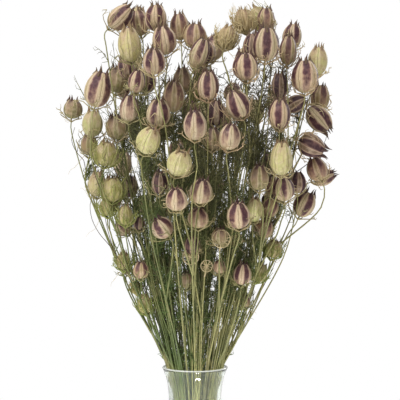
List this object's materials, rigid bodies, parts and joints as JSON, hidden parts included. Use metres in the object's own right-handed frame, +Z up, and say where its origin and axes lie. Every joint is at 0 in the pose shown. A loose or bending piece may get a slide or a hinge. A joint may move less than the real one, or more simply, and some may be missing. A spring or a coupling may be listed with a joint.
{
  "type": "bunch of dried nigella seed pods in a glass vase",
  "caption": "Bunch of dried love-in-a-mist seed pods, striped purple and straw, with horned crowns and thread-like bracts on branched stems, in a waisted clear glass vase.",
  "frame": {"origin": "centre of the vase's base", "axes": "+Z up the vase's axis, +X to the picture's right, and the picture looks along +Y"},
  "size_m": [0.2222, 0.2164, 0.4953],
  "materials": {
    "glass": "gloss",
    "striped_plant": "matte",
    "pale_plant": "matte",
    "green_plant": "matte"
  },
  "bodies": {
    "root": {"stem_01": "pale_plant", "stem_02": "striped_plant", "stem_03": "pale_plant", "stem_04": "pale_plant", "stem_05": "striped_plant", "stem_06": "pale_plant", "stem_07": "striped_plant", "stem_08": "striped_plant", "stem_09": "striped_plant", "stem_10": "pale_plant", "stem_11": "pale_plant", "stem_12": "pale_plant", "stem_13": "pale_plant", "stem_14": "striped_plant", "stem_15": "pale_plant", "stem_16": "striped_plant", "stem_17": "striped_plant", "stem_18": "pale_plant", "stem_19": "striped_plant", "stem_20": "striped_plant", "stem_21": "green_plant", "stem_22": "pale_plant", "stem_23": "striped_plant", "stem_24": "striped_plant", "stem_25": "striped_plant", "stem_26": "striped_plant", "stem_27": "striped_plant", "stem_28": "striped_plant", "stem_29": "striped_plant", "stem_30": "green_plant", "stem_31": "striped_plant", "stem_32": "pale_plant", "stem_33": "striped_plant", "stem_34": "green_plant", "stem_35": "pale_plant", "stem_36": "striped_plant", "stem_37": "striped_plant", "stem_38": "pale_plant", "stem_39": "striped_plant", "stem_40": "pale_plant", "stem_41": "striped_plant", "vase": "glass"}
  },
  "joints": []
}
